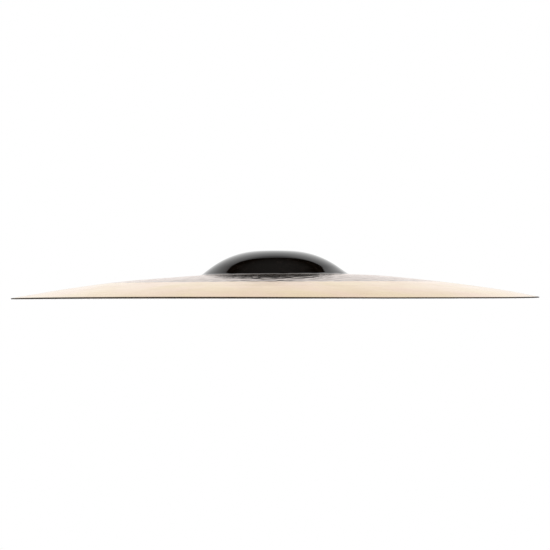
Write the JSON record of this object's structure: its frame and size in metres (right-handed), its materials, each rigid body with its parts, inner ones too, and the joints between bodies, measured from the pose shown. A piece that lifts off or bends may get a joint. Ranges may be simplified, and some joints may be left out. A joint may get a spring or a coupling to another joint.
{
  "type": "crash cymbal",
  "caption": "Thin domed bronze crash cymbal: dark hammered bell and inner bow, bright lathed outer bow, turned rim, centre hole for a stand.",
  "frame": {"origin": "on the axis of the centre hole, in the plane that the rim rests on", "axes": "+Z along the axis of the centre hole, out of the top of the bell; the plate is round, so X and Y are any two directions across it"},
  "size_m": [0.4572, 0.4572, 0.0421],
  "materials": {
    "bell": "raw unlathed bronze, near-black oxide skin under a clear gloss",
    "inner_bow": "raw unlathed bronze, hammered, near-black oxide skin under a clear gloss",
    "outer_bow": "bright bronze, finely lathed and polished",
    "edge": "polished bronze with a darker turned rim"
  },
  "bodies": {
    "root": {"bell": "bell", "inner_bow": "inner_bow", "outer_bow": "outer_bow", "edge": "edge"}
  },
  "joints": []
}
